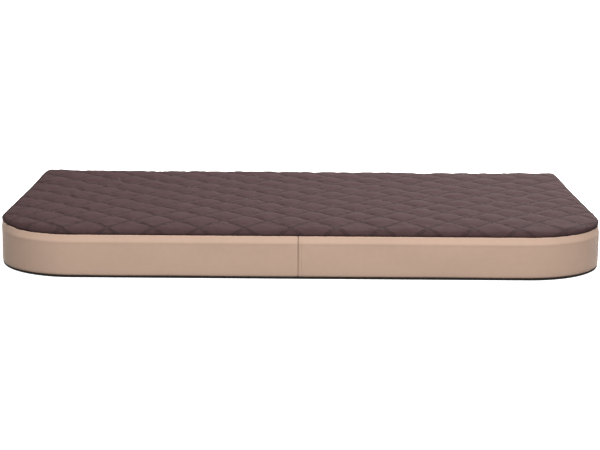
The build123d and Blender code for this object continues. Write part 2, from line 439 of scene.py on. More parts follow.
def cloth(name, light, dark, thread, rough, sheen, patch=45 * MM, amount=0.5, relief=0.05 * MM,
          specular=0.3, quilted=0.0, seam_shade_amount=0.0):
    """Woven cloth on a UV map in metres; the last two amounts darken the colour with painted shade,
    in the creases along the quilting lines and in the seam grooves between strips."""
    mat, tree, shader = start_material(name, rough, sheen, specular=specular)
    where = add(tree, "ShaderNodeTexCoord")
    dye = use_group(tree, DYE, Place=where.outputs["Object"], Patch=patch, Amount=amount,
                    Light=(*light, 1.0), Dark=(*dark, 1.0))
    weave = use_group(tree, WEAVE, Map=where.outputs["UV"], Thread=thread)
    gaps = math_node(tree, "MULTIPLY", weave.outputs["Gap"], 0.35)
    colour = blend_colour(tree, gaps, dye.outputs["Colour"], (*[c * 0.6 for c in dark], 1.0))
    under = None
    # Painted shade: the colour darkens in the seam grooves between strips, as the groove attribute gives it.
    if seam_shade_amount:
        groove = add(tree, "ShaderNodeAttribute")
        groove.attribute_name = "groove"
        depth = math_node(tree, "MULTIPLY", groove.outputs["Fac"], seam_shade_amount)
        colour = blend_colour(tree, depth, colour, (*[c * 0.25 for c in dark], 1.0))
    # Painted shade: the colour darkens in the creases along the quilting lines.
    if quilted:
        crease = use_group(tree, CREASE, Map=where.outputs["UV"], Crossing=(*QUILT_CROSSING, 0.0),
                           Turn=QUILT_TURN, Line_Gap=LINE_GAP)
        crease_shade = math_node(tree, "MULTIPLY", crease.outputs["Crease"], quilted)
        colour = blend_colour(tree, crease_shade, colour, (*[c * 0.35 for c in dark], 1.0))
        under = raise_bump(tree, shader, crease.outputs["Pucker"], 1.2 * MM)
    fill(tree, shader, Base_Color=colour)
    raise_bump(tree, shader, weave.outputs["Height"], relief, 0.6, under)
    return mat


def grained(name, light, dark, grain, rough, relief, metallic=0.0, patch=20 * MM, amount=0.5,
            specular=0.5):
    """Foam, rubber, thread or paint: a dyed colour with a fine speckle."""
    mat, tree, shader = start_material(name, rough, metallic=metallic, specular=specular)
    where = add(tree, "ShaderNodeTexCoord")
    dye = use_group(tree, DYE, Place=where.outputs["Object"], Patch=patch, Amount=amount,
                    Light=(*light, 1.0), Dark=(*dark, 1.0))
    speckle = use_group(tree, SPECKLE, Place=where.outputs["Object"], Grain=grain)
    pits = math_node(tree, "MULTIPLY", speckle.outputs["Mask"], 0.3)
    colour = blend_colour(tree, pits, dye.outputs["Colour"], (*dark, 1.0))
    fill(tree, shader, Base_Color=colour)
    raise_bump(tree, shader, speckle.outputs["Height"], relief, 0.5)
    return mat


# %% The finishes
# The quilt cloth's darkening along its quilting creases and the band cloth's darkening along its seams are
# painted shade.
QUILT_CLOTH = cloth("brown_quilt_cloth", (0.0635, 0.0365, 0.0370), (0.0500, 0.0290, 0.0292), 0.55 * MM,
                    0.92, 0.01, amount=0.6, specular=0.03, quilted=0.5)
BAND_CLOTH = cloth("tan_band_cloth", (0.520, 0.362, 0.278), (0.474, 0.328, 0.250), 0.30 * MM,
                   0.60, 0.02, patch=90 * MM, relief=0.02 * MM, specular=0.12, seam_shade_amount=0.7)
BASE_CLOTH = cloth("dark_base_cloth", (0.020, 0.016, 0.014), (0.012, 0.010, 0.009), 0.8 * MM,
                   0.85, 0.02, specular=0.1)
BACKING_CLOTH = cloth("white_backing_cloth", (0.62, 0.62, 0.60), (0.52, 0.52, 0.50), 0.7 * MM, 0.85, 0.1)
LINER_CLOTH = cloth("pale_liner_cloth", (0.74, 0.73, 0.70), (0.64, 0.63, 0.60), 0.5 * MM, 0.80, 0.1)
TAPE_CLOTH = cloth("zip_tape_cloth", (0.46, 0.32, 0.25), (0.36, 0.25, 0.19), 0.6 * MM, 0.70, 0.1)
WADDING = grained("polyester_wadding", (0.86, 0.86, 0.84), (0.74, 0.74, 0.72), 1.5 * MM, 0.95, 0.6 * MM)
BASE_FOAM = grained("yellow_base_foam", (0.74, 0.69, 0.48), (0.60, 0.54, 0.34), 1.2 * MM, 0.95, 0.4 * MM)
COMFORT_FOAM = grained("white_comfort_foam", (0.82, 0.81, 0.76), (0.70, 0.69, 0.63), 0.8 * MM, 0.95, 0.3 * MM)
QUILT_THREAD = grained("brown_thread", (0.050, 0.030, 0.029), (0.028, 0.017, 0.016), 0.3 * MM, 0.55,
                       0.05 * MM)
BAND_THREAD = grained("tan_thread", (0.36, 0.245, 0.185), (0.26, 0.17, 0.125), 0.3 * MM, 0.55, 0.05 * MM)
GRIP_RUBBER = grained("grip_rubber", (0.035, 0.032, 0.030), (0.018, 0.017, 0.016), 0.5 * MM, 0.6, 0.05 * MM)
COIL_NYLON = grained("coil_nylon", (0.42, 0.29, 0.22), (0.33, 0.22, 0.165), 0.6 * MM, 0.35, 0.02 * MM)
ZIP_METAL = grained("painted_zip_metal", (0.36, 0.26, 0.20), (0.27, 0.19, 0.145), 0.4 * MM, 0.34,
                    0.015 * MM, metallic=0.35)
print("finishes", len(bpy.data.materials))


def wear(obj, material, slot, *replaced):
    """Gives a finished piece its material and its body and hides the CAD nodes it replaces; slot is not used.
    """
    obj.data.materials.clear()
    obj.data.materials.append(material)
    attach(obj, "cushion")
    if replaced:
        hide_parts(*replaced)
    return obj


# %% [markdown]
# ## The quilted top
# The top is sewn flat: face cloth, wadding and backing are stitched through along two
# families of lines at 45 degrees, and the wadding pushes each diamond up between them.
# A cloth simulation does the same: the stitched lines and the edge are pinned, the
# cloth has a little slack, and pressure from below fills it. The grid of the pattern
# runs along the stitch lines, so each line is a run of edges.

# %% Quilting grid
# QUILT_EDGE is the edge's cross-section as (height, inset), from the seam up and inwards.
# The edge rides up from END_FROM over END_RUN along the bed, and the top rises from
# BACK_FROM over BACK_RUN towards the back, more beyond CORNER_FROM. The fades are how
# far in from the outline the top comes to its full height and the lift dies away.
CELLS, BACKING_CELLS = 12, 5
QUILT_EDGE = chaikin(np.array([(68.4, 5.0), (69.3, 4.2), (70.3, 3.1), (71.9, 2.4), (73.8, 2.8), (76.0, 4.3),
                               (78.3, 7.6), (80.6, 14), (82.1, 24), (83.2, 42), (84.0, 65), (84.3, 95)]) * MM)
EDGE_RUN = run_along(QUILT_EDGE)
EASE = EDGE_RUN[-1] - QUILT_EDGE[-1, 1]
FLAT_FROM = 25 * MM
CROWN, BACK_RISE, CORNER_RISE, TILT = 3.0 * MM, 3.6 * MM, 2.0 * MM, 0.8 * MM
BACK_FROM, BACK_RUN, CORNER_FROM, CORNER_RUN = 100 * MM, 160 * MM, 350 * MM, 130 * MM
END_FROM, END_RUN, ROLL_FROM, ROLL_RUN = 450 * MM, 50 * MM, 2 * MM, 7 * MM
TOP_FADE, LIFT_FADE = 12 * MM, 15 * MM
LIFT_LEFT, LIFT_RIGHT, LIFT_ROLL, SPREAD = 3.2 * MM, 0.3 * MM, 3.4 * MM, 0.6
PUFF, FULLNESS = 5.0 * MM, 1.1


def ease(t):
    """Smooth step from 0 to 1."""
    t = np.clip(t, 0, 1)
    return t * t * (3 - 2 * t)


def seam_lift(x):
    """How far the top seam rides up at the ends of the bed, the left one more than the right."""
    return np.where(x < 0, LIFT_LEFT, LIFT_RIGHT) * ease((np.abs(x) - END_FROM) / END_RUN)


def roll_lift(x, run):
    """How far the rolled edge rides up: with the seam at the seam, and alike at both ends above."""
    seam, roll = seam_lift(x), LIFT_ROLL * ease((np.abs(x) - END_FROM) / END_RUN)
    return seam + (roll - seam) * ease((run - ROLL_FROM) / ROLL_RUN)


def over_the_edge(pattern):
    """Lays a flat pattern over the pad: flat on top, then rolled down and in to the seam."""
    x, y = pattern[:, 0], pattern[:, 1]
    depth, out = depth_inside(x, y)
    run = depth + EASE
    inset = np.where(run < EDGE_RUN[-1], np.interp(run, EDGE_RUN, QUILT_EDGE[:, 1]), depth)
    rise = np.clip(1 - (2 * x / LENGTH) ** 2, 0, 1) * np.clip(1 - (2 * y / DEPTH) ** 2, 0, 1)
    back, on_top = ease((y - BACK_FROM) / BACK_RUN), np.clip(depth / TOP_FADE, 0, 1)
    lift = roll_lift(x, run) * np.exp(-np.maximum(depth, 0) / LIFT_FADE)
    z = np.interp(run, EDGE_RUN, QUILT_EDGE[:, 0]) + CROWN * rise + lift
    z += BACK_RISE * back * on_top
    z += CORNER_RISE * back * ease((np.abs(x) - CORNER_FROM) / CORNER_RUN)
    z += TILT * (2 * y / DEPTH) * on_top
    return np.column_stack([pattern + (depth - inset + SPREAD * lift)[:, None] * out, z])


def stitch_grid(pattern):
    """Place of each point counted in stitch lines, for the falling and the rising lines."""
    c, s = math.cos(QUILT_TURN), math.sin(QUILT_TURN)
    d = (pattern - np.array(QUILT_CROSSING)) / LINE_GAP
    return d[:, 0] * c + d[:, 1] * s, -d[:, 0] * s + d[:, 1] * c


def quilt_sheet(name, step, *crowding):
    """The quilt's flat pattern as a mesh with its map, its grid along the stitch lines."""
    rim_count, pattern, faces = flat_pattern(-EASE, step, QUILT_TURN, QUILT_CROSSING, *crowding)
    sheet = new_object(name, np.column_stack([pattern, 0 * pattern[:, 0]]), faces)
    join_squares(sheet, depth_inside(*pattern.T)[0] > FLAT_FROM)
    lay_uv(sheet, pattern)
    return sheet, pattern, rim_count


quilt_face, pattern, RIM_COUNT = quilt_sheet("quilt_face", LINE_GAP / CELLS, 0.5, LINE_GAP)
flat_top = over_the_edge(pattern)
set_points(quilt_face, flat_top)
print("quilt pattern", len(pattern), "points", len(quilt_face.data.polygons), "faces")

# %% The stitched lines
FALLING, RISING = stitch_grid(pattern)
off_falling, off_rising = np.abs(FALLING - np.round(FALLING)), np.abs(RISING - np.round(RISING))
on_falling, on_rising = off_falling < 0.01, off_rising < 0.01
sewn = on_falling | on_rising
sewn[:RIM_COUNT] = True
print("points on a stitch line", int(sewn.sum()))


# %% Puffing the diamonds up
def puff_up(obj, pinned, pressure, slack, frames):
    """Runs the cloth simulation and returns where every point ends up."""
    group = obj.vertex_groups.new(name="sewn")
    group.add([int(i) for i in np.nonzero(pinned)[0]], 1.0, "REPLACE")
    sim = obj.modifiers.new("puff", "CLOTH")
    rules = sim.settings
    for key, value in dict(
            vertex_group_mass="sewn", quality=5, mass=0.02, tension_stiffness=12,
            compression_stiffness=12, shear_stiffness=4, bending_stiffness=0.05,
            use_pressure=True, uniform_pressure_force=pressure, shrink_min=-slack,
            shrink_max=-slack).items():
        setattr(rules, key, value)
    rules.effector_weights.gravity = 0
    sim.collision_settings.use_collision = False
    sim.point_cache.frame_end = frames
    for number in range(1, frames + 1):
        bpy.context.scene.frame_set(number)
    shown = obj.evaluated_get(bpy.context.evaluated_depsgraph_get())
    ended = points_of(shown.data)
    obj.modifiers.remove(sim)
    obj.vertex_groups.remove(group)
    bpy.context.scene.frame_set(1)
    return ended


flat_normals = normals_of(quilt_face, flat_top)
puffed = puff_up(quilt_face, sewn, pressure=5.0, slack=0.010, frames=18)
lift = np.maximum(np.sum((puffed - flat_top) * flat_normals, axis=1), 0)
edge = np.clip((depth_inside(*pattern.T)[0] + EASE) / TOP_FADE, 0, 1)
lift = PUFF * (lift / lift.max()) ** FULLNESS * edge
puffed = flat_top + lift[:, None] * flat_normals
print("puffs stand", np.round(np.percentile(lift, [50, 90, 100]) / MM, 2), "mm proud")

# %% Face cloth
set_points(quilt_face, puffed)
thicken(quilt_face, FACE_T)
wear(quilt_face, QUILT_CLOTH, "quilt_cloth", "top_quilt_face")

# %% [markdown]
# ### Wadding and backing
# Under the face lies the wadding that fills the puffs, squeezed thin at every stitch
# line, and below it a thin backing cloth that the stitches also go through. The
# wadding's upper side copies the simulated face; its underside is smooth, because the
# foam presses it flat.

# %% Wadding
WADDING_TOP, WADDING_UNDER, BACKING_TOP = 1.15 * MM, 2.1 * MM, 2.25 * MM
FOAM_CLEAR, BACKING_CLEAR = 78.35 * MM, 78.2 * MM
top_side = puffed - WADDING_TOP * normals_of(quilt_face, puffed)
under_side = flat_top - WADDING_UNDER * flat_normals
under_side[:, 2] = np.minimum(under_side[:, 2], FOAM_CLEAR)
count = len(pattern)
rim_loop = [(k, (k + 1) % RIM_COUNT) for k in range(RIM_COUNT)]
upper = [list(p.vertices) for p in quilt_face.data.polygons]
walls = [[a + count, b + count, b, a] for a, b in rim_loop]
lower = [[v + count for v in reversed(f)] for f in upper]
wadding = new_object("quilt_wadding", np.vstack([top_side, under_side]), upper + walls + lower)
wear(wadding, WADDING, "wadding", "top_quilt_wadding")
print("wadding faces", len(wadding.data.polygons))

# %% Backing cloth
backing, backing_pattern, _ = quilt_sheet("quilt_backing", LINE_GAP / BACKING_CELLS)
laid = over_the_edge(backing_pattern)
laid = laid - BACKING_TOP * normals_of(backing, laid)
laid[:, 2] = np.minimum(laid[:, 2], BACKING_CLEAR)
set_points(backing, laid)
thicken(backing, BACKING_T)
wear(backing, BACKING_CLOTH, "backing_cloth", "top_quilt_backing")
print("backing", len(backing.data.polygons), "faces")

# %% [markdown]
# ## Stitches
# Every stitch is one short bead of thread lying in a line of its neighbours. One
# Geometry Nodes tree lays them: it walks along any run of edges, sets a bead at each
# step and turns it along the line. Pitch, length and thickness are its inputs, so the
# fine quilting and the coarser top-stitching share it.


# %% Start and end of a tree
def start_tree(name, host, numbers, made, *more):
    """A Geometry Nodes tree with named inputs: a host, numbers, more, and a material last."""
    tree = bpy.data.node_groups.new(name, "GeometryNodeTree")
    sockets = [(host, "NodeSocketGeometry"), *((label, "NodeSocketFloat") for label in numbers), *more]
    for label, kind in sockets:
        socket = tree.interface.new_socket(label, in_out="INPUT", socket_type=kind)
        if label in numbers:
            socket.default_value = numbers[label]
    tree.interface.new_socket(made, in_out="OUTPUT", socket_type="NodeSocketGeometry")
    return tree, tree.nodes.new("NodeGroupInput")


def end_tree(tree, start, geometry, material):
    """Realizes what a tree made, shades it smooth, gives it its material and puts it out."""
    for kind in ("RealizeInstances", "SetShadeSmooth", "SetMaterial"):
        node = tree.nodes.new("GeometryNode" + kind)
        tree.links.new(geometry, node.inputs[0])
        geometry = node.outputs[0]
    fill(tree, node, Material=start.outputs[material])
    plug(tree, tree.nodes.new("NodeGroupOutput").inputs[0], geometry)
    return tree


def set_beads(tree, start, points, sides, sizes):
    """Sets a round bead on every point, sized by three of the tree's inputs."""
    bead = add(tree, "GeometryNodeMeshUVSphere", Segments=sides, Rings=4, Radius=0.5)
    x, y, z = (start.outputs[label] for label in sizes)
    size = add(tree, "ShaderNodeCombineXYZ", X=x, Y=y, Z=z)
    return add(tree, "GeometryNodeInstanceOnPoints", Points=points, Instance=bead.outputs["Mesh"],
               Scale=size.outputs[0])


# %% Node tree that lays stitches
def make_stitch_tree():
    """Beads of thread set end to end along the edges of a mesh."""
    tree, start = start_tree(
        "lay_stitches", "Line", {"Pitch": 3.8 * MM, "Stitch": 3.1 * MM, "Thick": 0.5 * MM},
        "Stitches", ("Thread", "NodeSocketMaterial"))
    line = add(tree, "GeometryNodeMeshToCurve", Mesh=start.outputs["Line"])
    step = add(tree, "GeometryNodeResampleCurve", Curve=line.outputs[0])
    tangent = add(tree, "GeometryNodeInputTangent")
    turn = add(tree, "FunctionNodeAlignRotationToVector", Vector=tangent.outputs[0])
    step.mode, turn.axis = "LENGTH", "Z"
    fill(tree, step, Length=start.outputs["Pitch"])
    place = set_beads(tree, start, step.outputs[0], 6, ("Thick", "Thick", "Stitch"))
    fill(tree, place, Rotation=turn.outputs[0])
    return end_tree(tree, start, place.outputs[0], "Thread")


def grow(name, host, tree, **values):
    """Runs a tree on a host mesh and keeps the result as a plain mesh object."""
    mod = host.modifiers.new(name, "NODES")
    mod.node_group = tree
    for item in tree.interface.items_tree:
        if item.in_out == "INPUT" and item.name in values:
            mod[item.identifier] = values[item.name]
    host.update_tag()
    bpy.context.view_layer.update()
    made = bpy.data.meshes.new_from_object(host.evaluated_get(bpy.context.evaluated_depsgraph_get()))
    made.name = name
    obj = link_up(name, made)
    bpy.data.objects.remove(host)
    print(name, len(made.polygons), "faces")
    return obj


def lines_host(lines):
    """A mesh of nothing but edges, one run for each list of points."""
    points, edges = [], []
    for line in lines:
        edges += [(len(points) + k, len(points) + k + 1) for k in range(len(line) - 1)]
        points += [tuple(p) for p in line]
    return new_object("thread_lines", points, [], edges)


def sew(name, lines, thread, slot, replaced, pitch=3.8 * MM, stitch=3.1 * MM, thick=0.5 * MM):
    """Sews a line of stitches along each run of points."""
    stitches = grow(name, lines_host(lines), STITCHES, Pitch=pitch, Stitch=stitch, Thick=thick,
                    Thread=thread)
    wear(stitches, thread, slot, replaced)


STITCHES = make_stitch_tree()

# %% Quilting stitches
THREAD_PROUD = 0.12 * MM
above = puffed + THREAD_PROUD * normals_of(quilt_face, puffed)


def stitch_runs(on_line, count, order):
    """The points of each stitch line, in order along it."""
    runs = []
    for number in np.unique(np.round(count[on_line])):
        on = np.nonzero(on_line & (np.round(count) == number))[0]
        if len(on) > 2:
            runs.append(above[on[np.argsort(order[on])]])
    return runs


for way, runs in (("falling", stitch_runs(on_falling, FALLING, RISING)),
                  ("rising", stitch_runs(on_rising, RISING, FALLING))):
    sew("quilting_stitches_" + way, runs, QUILT_THREAD, "quilt_thread", "quilting_thread_" + way)

# %% [markdown]
# ## The side band
# The band is a strip of smooth cloth sewn between the top and the base. It is swept
# round the outline from one cross-section: turned in at the bottom seam, upright up
# to the foam's corner, then leaning in to the top seam, which makes the pale lip that
# catches the light. A little slow noise stops it looking moulded, and it draws in
# where two strips are sewn together.

# %% Band cross-section
# Each point is (height, inset). PINCHES are how deep and how wide the band draws in at a
# seam between strips, and the lip leans in from LIP_FROM to LIP_TO.
BAND_LOW = [(4.9, 6.0), (4.4, 3.4), (4.4, 1.3), (5.4, 0.4), (8.6, 0.05)]
BAND_HIGH = [(55.4, 0.0), (57.0, -0.1), (58.8, -0.1), (61.0, 0.4), (64.6, 1.6), (68.4, 2.6),
             (69.6, 2.9), (70.1, 3.7), (69.9, 5.4)]
LIP_FROM, LIP_TO = 57.2 * MM, 70.1 * MM
BAND_T, TURN_IN = 1.1 * MM, 3.5 * MM
PINCHES = ((1.3 * MM, 1.3 * MM), (0.45 * MM, 9 * MM))
HEM_WAVE, HEM_HIGH = 0.5 * MM, 12 * MM
band_middle = [(z, 0.0) for z in np.linspace(14, 52, 9)]
BAND = chaikin(np.array(BAND_LOW + band_middle + BAND_HIGH) * MM, 1)
STRIP_LOW = chaikin(np.array(BAND_LOW + [(z, 0.0) for z in (14, 20, 26)]
                             + [(29.4, 0.1), (30.0, 0.7), (29.9, 1.6), (27.0, 2.0)]) * MM, 1)
STRIP_HIGH = chaikin(np.array([(43.0, 2.0), (40.1, 1.6), (40.0, 0.7), (40.6, 0.1)]
                              + [(z, 0.0) for z in (44, 50, 54)] + BAND_HIGH) * MM, 1)


def slack_at(walk, z):
    """How far the band stands out or in at a place, from the slack of the cloth."""
    middle = math.sin(math.pi * min(max((z / MM - 3) / 66, 0), 1))
    slow = 0.7 * ripple(walk, z * 1.6, 0.31, 120 * MM) + 0.25 * ripple(walk, z * 0.7, 0.77, 38 * MM)
    return slow * middle * MM


def band_surface(walk, section, seams):
    """Points of the band for each distance walked and each point of the cross-section."""
    points, out = rim(walk)
    verts, uv = np.zeros((len(walk), len(section), 3)), np.zeros((len(walk), len(section), 2))
    along = run_along(section)
    for i, (w, p, n) in enumerate(zip(walk, points, out)):
        near = min(abs(w - s) for s in seams)
        pinch = sum(deep * math.exp(-(near / wide) ** 2) for deep, wide in PINCHES)
        wave = HEM_WAVE * ripple(w, 0.2, 0.5, 90 * MM)
        for j, (z, inset) in enumerate(section):
            hem = wave * max(0.0, 1 - z / HEM_HIGH)
            raised = seam_lift(p[0]) * min(max((z - LIP_FROM) / (LIP_TO - LIP_FROM), 0), 1)
            draw = inset + pinch - slack_at(w, z) - SPREAD * raised
            verts[i, j] = (*(p - n * draw), z + hem + raised)
            uv[i, j] = (w, along[j])
    return verts, uv


def sweep(name, start, end, section, seams, step=5 * MM):
    """A strip of band between two seams, turned in where it is sewn."""
    near = np.array([0.15, 0.7, 1.4, 2.4, 4.0, 6.5, 10.0]) * MM
    walk = np.unique(np.concatenate([stations(start, end, step), start + near, end - near]))
    walk = walk[(walk > start + 0.1 * MM) & (walk < end - 0.1 * MM)]
    walk = np.concatenate([[start + 0.02 * MM], walk, [end - 0.02 * MM]])
    verts, uv = band_surface(walk, section, seams)
    turned = [verts[k] - TURN_IN * np.append(rim([walk[k]])[1][0], 0) for k in (0, -1)]
    verts = np.concatenate([turned[0][None], verts, turned[1][None]])
    uv = np.concatenate([uv[:1] - (TURN_IN, 0), uv, uv[-1:] + (TURN_IN, 0)])
    strip = new_object(name, verts.reshape(-1, 3), strip_faces(*verts.shape[:2]))
    lay_uv(strip, uv.reshape(-1, 2))
    # The groove attribute is painted shade in the seam grooves: how much the cloth's colour darkens near each
    # seam, less towards the bottom.
    near = np.min(np.abs(uv[:, :, :1] - np.array(seams)), axis=2)
    groove = strip.data.attributes.new("groove", "FLOAT", "POINT")
    depth = np.exp(-(near / (0.8 * MM)) ** 2) * (0.6 + 0.4 * ease(verts[:, :, 2] / (60 * MM)))
    groove.data.foreach_set("value", depth.astype(np.float32).ravel())
    thicken(strip, BAND_T)
    return strip


# %% Band pieces
BACK_WALK = HALF_WAY - BACK_SEAM_X
SEAMS = (FRONT_SEAM_X, BACK_WALK, BACK_WALK - 2 * HALF_WAY, -BACK_WALK, 2 * HALF_WAY - BACK_WALK)
STRIPS = (("band_left", -BACK_WALK, FRONT_SEAM_X, BAND, "boxing_left"),
          ("band_right", FRONT_SEAM_X, BACK_WALK, BAND, "boxing_right"),
          ("band_above_zip", BACK_WALK, 2 * HALF_WAY - BACK_WALK, STRIP_HIGH, "zip_strip_upper"),
          ("band_below_zip", BACK_WALK, 2 * HALF_WAY - BACK_WALK, STRIP_LOW, "zip_strip_lower"))
for name, start, end, section, node in STRIPS:
    strip = wear(sweep(name, start, end, section, SEAMS), BAND_CLOTH, "band_cloth", node)
    width, length = float(run_along(section)[-1]), end - start + 2 * TURN_IN
    print(name, "cut", round(width / MM), "x", round(length / MM), "mm")

# %% Top-stitching on the band
TOP_STITCH = dict(pitch=3.2 * MM, stitch=2.6 * MM, thick=0.55 * MM)
BAND_THREAD_PROUD = 0.1 * MM
stitch_walk = FRONT_SEAM_X + 5.5 * MM
column, _ = band_surface(np.array([stitch_walk]), BAND, SEAMS)
column = column[0][(BAND[:, 0] > 6 * MM) & (BAND[:, 0] < 67 * MM)]
outward = np.append(rim([stitch_walk])[1][0], 0)
sew("front_seam_stitches", [column + BAND_THREAD_PROUD * outward], BAND_THREAD, "band_thread",
    "front_seam_topstitch", **TOP_STITCH)


def back_run(walks, heights):
    """A run of points just proud of the back strips, by distance walked and height."""
    run = []
    for w, z in zip(walks, heights):
        p, n = rim([w])
        run.append((*(p[0] + n[0] * (slack_at(w, z) + BAND_THREAD_PROUD)), z))
    return np.array(run)


across = np.linspace(BACK_WALK + 8 * MM, 2 * HALF_WAY - BACK_WALK - 8 * MM, 180)
for which in ("upper", "lower"):
    low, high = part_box("zip_topstitch_" + which)
    sew("zip_stitches_" + which, [back_run(across, [(low.z + high.z) / 2] * len(across))],
        BAND_THREAD, "band_thread", "zip_topstitch_" + which, **TOP_STITCH)
low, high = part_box("zip_end_topstitch")
ends = [back_run([w] * 12, np.linspace(low.z, high.z, 12))
        for w in (HALF_WAY - high.x, HALF_WAY + high.x)]
sew("zip_end_stitches", ends, BAND_THREAD, "band_thread", "zip_end_topstitch",
    pitch=3.0 * MM, stitch=2.5 * MM, thick=0.55 * MM)

# %% [markdown]
# ## Base, liner and foam
# These share one builder: rings that follow the outline through a cross-section, closed
# by a flat pattern at one end or both. The base is a shallow dark tray of cloth that
# shows as a thin line along the floor. The liner and the foam are out of sight, but
# they are what gives the bed its shape, so they are made at their real sizes.

# %% Ringed bodies
# The foam's roughness comes from noise_vector, which takes its offsets from the clock
# unless it is given a seed other than 0.
ZIP_ROOM = 2.6 * MM
SEED = 1
noise.seed_set(SEED)


def ringed(name, section, step, top_end=True, back_room=0.0, rough=0.0):
    """A body of rings through (height, inset) points, bottom to top, closed flat below and above."""
    section = np.array(section) * MM
    walk = stations(0.0, 2 * HALF_WAY, step)[:-1]
    points, out = rim(walk)
    n = len(walk)
    rings = [np.column_stack([points - out * inset, np.full(n, z)]) for z, inset in section]
    verts, faces = np.vstack(rings), []
    for r in range(len(rings) - 1):
        faces += [[r * n + k, r * n + (k + 1) % n, (r + 1) * n + (k + 1) % n, (r + 1) * n + k]
                  for k in range(n)]
    for ring in (0, len(rings) - 1) if top_end else (0,):
        z, inset = section[ring]
        _, flat, tiles = flat_pattern(inset, step)
        base = len(verts)
        index = list(range(ring * n, ring * n + n)) + list(range(base, base + len(flat) - n))
        verts = np.vstack([verts, np.column_stack([flat[n:], np.full(len(flat) - n, z)])])
        faces += [[index[v] for v in (t if ring else reversed(t))] for t in tiles]
    if rough:
        for v in verts:
            v += rough * noise.noise_vector(Vector(v / (45 * MM)))
    verts[:, 1] -= back_room * np.clip(verts[:, 1] / DEPTH + 0.5, 0, 1)
    body = new_object(name, verts, faces)
    lay_uv(body, verts[:, :2])
    return body


# %% Base cloth
BASE_EDGE = chaikin([(0.5, 9.0), (0.5, 3.6), (0.8, 1.5), (1.9, 0.7), (3.3, 0.7), (4.2, 1.5),
                     (4.3, 3.4), (4.3, 6.0)])
base = ringed("base_cloth", BASE_EDGE, 8 * MM, top_end=False)
thicken(base, BASE_T)
wear(base, BASE_CLOTH, "base_cloth", "base_panel")
print("base", len(base.data.polygons), "faces")

# %% Liner and foam
LINER_EDGE = chaikin([(1.6, 8.0), (1.7, 6.0), (3.7, 4.0), (7.8, 2.3), (14, 1.7), (36, 1.6), (60, 2.0),
                      (64.2, 3.5), (70.3, 7.8), (74.4, 13.0), (76.7, 18.0), (77.4, 24.0)], 1)
BASE_PAD_EDGE = [(2.2, 8.0), (2.8, 5.4), (4.6, 3.7), (8, 2.7), (14, 2.3), (33, 2.3), (51.4, 2.3), (51.9, 3.0)]
COMFORT_PAD_EDGE = [(52.1, 3.0), (52.6, 2.4), (60, 2.7), (64, 4.1), (68, 6.6), (71, 9.4), (74, 13.6),
                    (76.0, 18.5), (76.8, 24.0)]
liner = ringed("foam_liner", LINER_EDGE, 12 * MM, back_room=ZIP_ROOM)
thicken(liner, LINER_T)
wear(liner, LINER_CLOTH, "liner_cloth", "inner_liner")
for name, section, rough, finish, slot, node in (
        ("base_foam_pad", BASE_PAD_EDGE, 0.15 * MM, BASE_FOAM, "base_foam", "foam_base_layer"),
        ("comfort_foam_pad", COMFORT_PAD_EDGE, 0.1 * MM, COMFORT_FOAM, "comfort_foam", "foam_comfort_layer")):
    pad = ringed(name, section, 12 * MM, back_room=ZIP_ROOM, rough=rough)
    wear(pad, finish, slot, node)
    print(name, len(pad.data.polygons), "faces")

# %% [markdown]
# ## The zip
# The zip is a nylon coil zip. Each side is a woven tape with one long thread of nylon
# wound in a coil along its edge. A coil follows a rule, so a Geometry Nodes tree winds
# it: a spiral, stretched flat and given a round section. The slider, pull and stops
# keep their CAD shapes, because they are hard parts that are already right.

# %% Tapes
def tape(name, node, inner_side):
    """One woven tape, a little thicker along the edge that holds the coil."""
    low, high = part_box(node)
    along, share = np.linspace(low.x, high.x, 190), np.linspace(0, 1, 11)
    x, t = np.meshgrid(along, share, indexing="ij")
    edge = t if inner_side < 0 else 1 - t
    y = high.y - 0.15 * MM + 0.12 * MM * np.exp(-((edge - 0.86) / 0.05) ** 2)
    z = low.z + (high.z - low.z) * t
    faces = [f[:1] + f[:0:-1] for f in strip_faces(*x.shape)]
    made = new_object(name, np.stack([x, y, z], -1).reshape(-1, 3), faces)
    lay_uv(made, np.stack([x, z], -1).reshape(-1, 2))
    thicken(made, TAPE_T)
    wear(made, TAPE_CLOTH, "zip_tape", node)
    print(name, "cut", round((high.z - low.z) / MM), "x", round((high.x - low.x) / MM), "mm")


tape("tape_upper", "zip_tape_upper", 1)
tape("tape_lower", "zip_tape_lower", -1)


# %% Node tree that winds a coil
def make_coil_tree():
    """A coil of round thread along X, flattened to a width and a height."""
    tree, start = start_tree(
        "wind_coil", "Place",
        {"Turns": 600.0, "Length": 0.9, "Wire": 0.3 * MM, "Tall": 2.4 * MM, "Deep": 1.6 * MM},
        "Coil", ("Centre", "NodeSocketVector"), ("Nylon", "NodeSocketMaterial"))
    turns, length, wire, tall, deep, centre = (
        start.outputs[label] for label in ("Turns", "Length", "Wire", "Tall", "Deep", "Centre"))
    spiral = add(tree, "GeometryNodeCurveSpiral", Resolution=10, Rotations=turns, Start_Radius=0.5,
                 End_Radius=0.5, Height=length)
    along_x = add(tree, "GeometryNodeTransform", Geometry=spiral.outputs[0], Rotation=(0, math.pi / 2, 0))
    size = add(tree, "ShaderNodeCombineXYZ", X=1.0, Y=deep, Z=tall)
    flat = add(tree, "GeometryNodeTransform", Geometry=along_x.outputs[0], Scale=size.outputs[0])
    ring = add(tree, "GeometryNodeCurvePrimitiveCircle", Resolution=5, Radius=wire)
    thread = add(tree, "GeometryNodeCurveToMesh", Curve=flat.outputs[0], Profile_Curve=ring.outputs[0],
                 Fill_Caps=True)
    placed = add(tree, "GeometryNodeTransform", Geometry=thread.outputs[0], Translation=centre)
    return end_tree(tree, start, placed.outputs[0], "Nylon")


